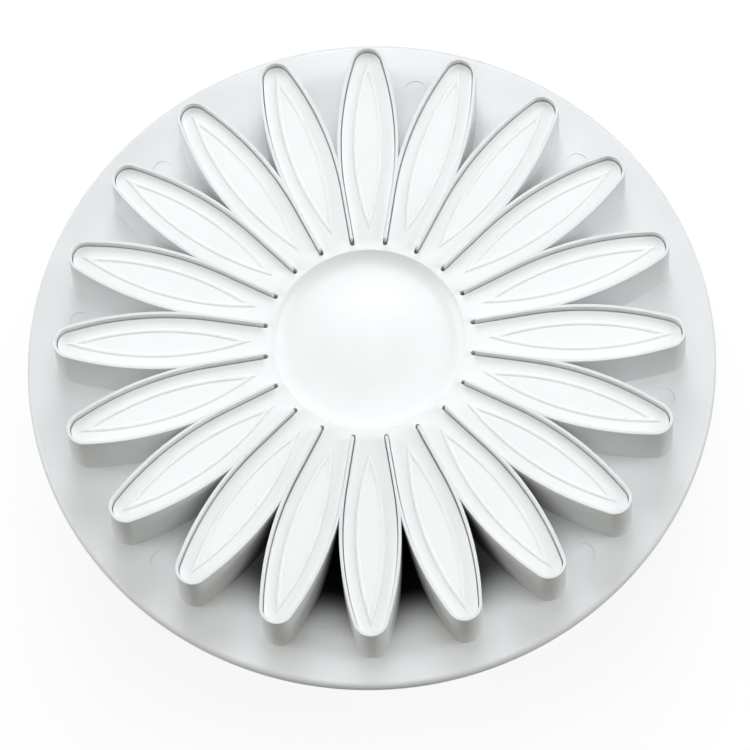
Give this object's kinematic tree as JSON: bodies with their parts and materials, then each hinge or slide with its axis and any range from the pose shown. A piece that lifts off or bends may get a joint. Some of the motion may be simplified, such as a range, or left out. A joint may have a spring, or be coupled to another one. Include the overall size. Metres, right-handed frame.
{
  "type": "plunger cutter",
  "caption": "Flower-shaped plunger cutter for rolled paste: round flange, petal cutting wall, sprung embossing plate with vein ridges, and a press knob behind.",
  "frame": {"origin": "centre of the knob's flat outer face, which the cutter stands on with its cutting edge up", "axes": "+Z along the plunger, from the knob to the cutting edge; -Y to the front, the side the picture is taken from, where one petal points; one petal also points along +X"},
  "size_m": [0.1166, 0.1166, 0.0464],
  "materials": {
    "white_plastic": "satin",
    "steel": "satin"
  },
  "bodies": {
    "cutter_body": {"cutter_shell": "white_plastic", "back_housing": "white_plastic", "return_spring": "steel"},
    "plunger": {"emboss_plate": "white_plastic", "plunger_stem": "white_plastic", "press_knob": "white_plastic", "knob_screw": "steel", "knob_cap": "white_plastic"}
  },
  "joints": [
    {"name": "plunger_slide", "type": "slide", "parent": "cutter_body", "child": "plunger", "axis": [0, 0, 1], "range_m": [0, 0.0032], "stiffness_N_per_m": 900, "springref_m": -0.005, "deforming": ["return_spring"]}
  ]
}
